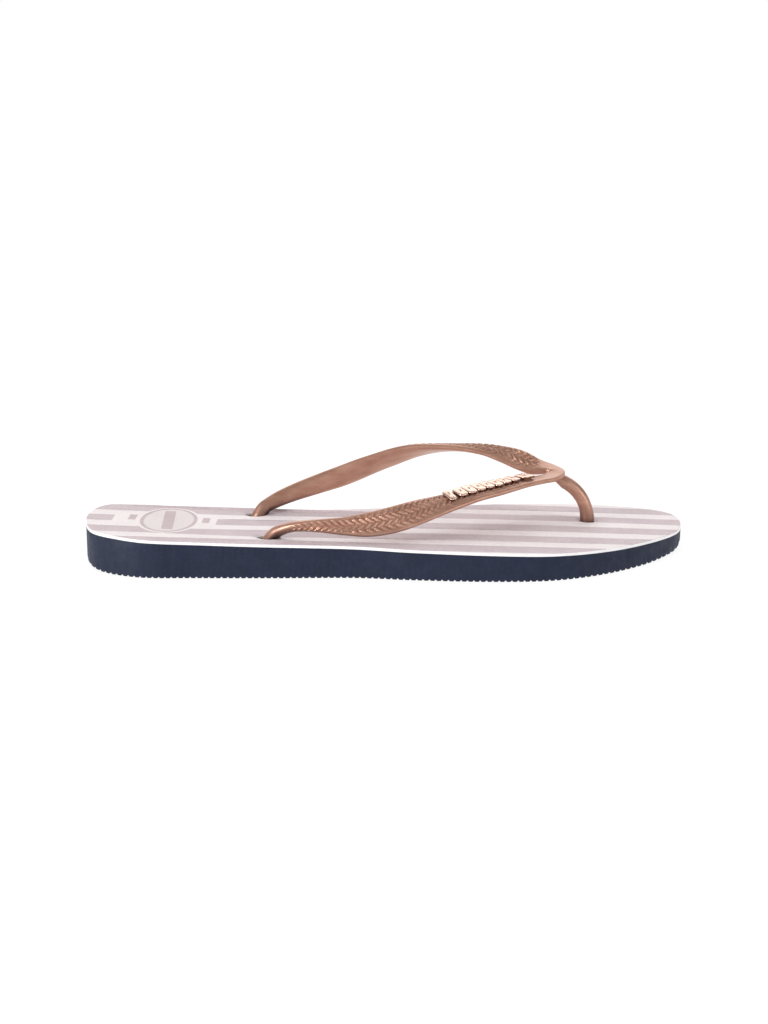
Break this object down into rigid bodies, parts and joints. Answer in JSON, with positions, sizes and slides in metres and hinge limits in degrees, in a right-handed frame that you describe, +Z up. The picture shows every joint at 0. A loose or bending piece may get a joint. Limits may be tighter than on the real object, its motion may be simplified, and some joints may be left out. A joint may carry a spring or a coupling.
{
  "type": "flip flop",
  "caption": "Slim right-foot rubber flip flop: striped footbed on a navy sole, with a ribbed metallic thong strap, toe post and a row of plain metal beads.",
  "frame": {"origin": "middle of the sole's bounding box, on the ground", "axes": "+X to the toe, +Y to the big-toe (medial) side, +Z up"},
  "size_m": [0.2514, 0.0894, 0.0418],
  "materials": {
    "outsole_rubber": "matte moulded rubber, navy",
    "footbed_rubber": "matte off-white rubber with a fine rice-grain texture",
    "stripe_ink": "matte dusty-pink print",
    "emblem_ink": "matte rose print",
    "strap_rubber": "satin rubber with a copper-rose pearl",
    "trim_metal": "polished rose-gold plating",
    "retainer_metal": "satin rose-gold plating"
  },
  "bodies": {
    "root": {"outsole": "outsole_rubber", "footbed": "footbed_rubber", "stripe_print": "stripe_ink", "heel_print": "emblem_ink", "strap": "strap_rubber", "trim_bead_1": "trim_metal", "trim_bead_2": "trim_metal", "trim_bead_3": "trim_metal", "trim_bead_4": "trim_metal", "trim_bead_5": "trim_metal", "trim_bead_6": "trim_metal", "trim_bead_7": "trim_metal", "trim_bead_8": "trim_metal", "trim_bead_9": "trim_metal", "trim_retainers": "retainer_metal"}
  },
  "joints": []
}
